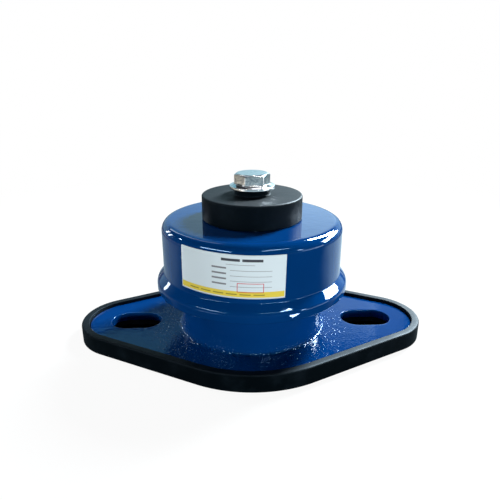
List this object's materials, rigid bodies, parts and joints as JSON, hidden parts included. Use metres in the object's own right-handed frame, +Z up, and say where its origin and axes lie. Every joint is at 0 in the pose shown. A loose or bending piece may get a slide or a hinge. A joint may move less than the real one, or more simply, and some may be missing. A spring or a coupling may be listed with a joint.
{
  "type": "spring vibration isolator",
  "caption": "Housed spring vibration isolator: a sprung enamelled cap slides over a tube on a slotted rhombic base, with a rubber tray below and a rubber pad and fixing bolt on top.",
  "frame": {"origin": "centre of the base pad's underside", "axes": "+Z up along the cap's travel, +X along the base through the fixing slots, -Y towards the label"},
  "size_m": [0.2104, 0.131, 0.102],
  "materials": {
    "rubber": "satin black rubber",
    "blue_enamel": "glossy blue enamel",
    "spring_steel": "oiled dark spring steel",
    "plain_steel": "plain steel",
    "zinc_plate": "bright zinc plate",
    "label_paper": "satin paper sticker"
  },
  "bodies": {
    "base": {"base_pad": "rubber", "lower_housing": "blue_enamel", "lower_spring_seat": "rubber", "coil_spring": "spring_steel"},
    "cap": {"upper_cap": "blue_enamel", "upper_spring_seat": "rubber", "damping_ring": "rubber", "weld_nut": "plain_steel", "label": "label_paper", "top_pad": "rubber", "hex_flange_bolt": "zinc_plate"}
  },
  "joints": [
    {"name": "cap_slide", "type": "slide", "parent": "base", "child": "cap", "axis": [0, 0, 1], "range_m": [-0.018, 0], "stiffness_N_per_m": 75000, "deforming": ["coil_spring"]}
  ]
}
